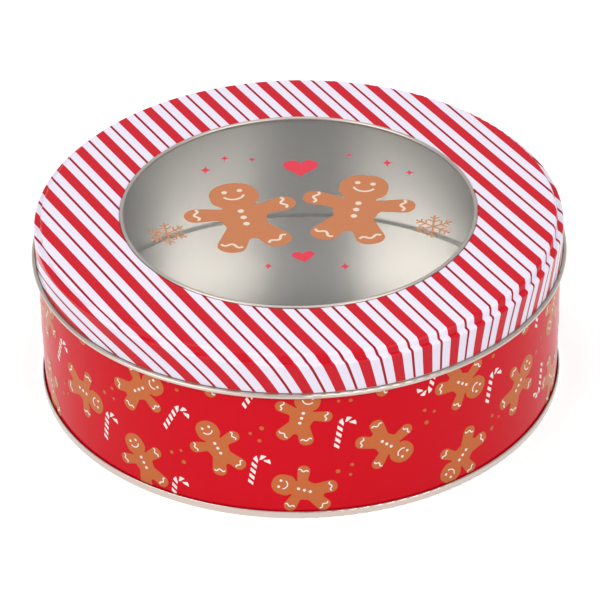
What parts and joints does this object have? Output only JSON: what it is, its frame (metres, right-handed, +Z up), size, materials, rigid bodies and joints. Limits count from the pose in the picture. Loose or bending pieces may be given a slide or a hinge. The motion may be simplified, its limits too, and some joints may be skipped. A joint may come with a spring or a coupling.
{
  "type": "window lid tin",
  "caption": "Round printed tinplate biscuit tin whose stepped lift-off lid has a clear window.",
  "frame": {"origin": "centre of the bottom rim, on the surface that the tin stands on", "axes": "+Z up along the tin's axis and the way the lid lifts; -Y is the side towards the viewer; the lock seam is at +Y"},
  "size_m": [0.1938, 0.1938, 0.0676],
  "materials": {
    "printed_wall": "gloss lacquer over a red print with small biscuit and cane motifs; bare tinplate inside and at the curl",
    "striped_lid": "gloss lacquer over slanting red and white stripes; bare tinplate inside, at the bead round the window and at the curl",
    "bare_tinplate": "satin tinplate with a fine rolled grain",
    "clear_pane": "clear plastic sheet with an opaque printed picture of biscuits, hearts and snowflakes"
  },
  "bodies": {
    "tin": {"body_wall": "printed_wall", "base_disc": "bare_tinplate"},
    "lid": {"lid_shell": "striped_lid", "window_pane": "clear_pane", "window_retaining_ring": "bare_tinplate"}
  },
  "joints": [
    {"name": "lid_lift", "type": "slide", "parent": "tin", "child": "lid", "axis": [0, 0, 1], "range_m": [0, 0.06]}
  ]
}
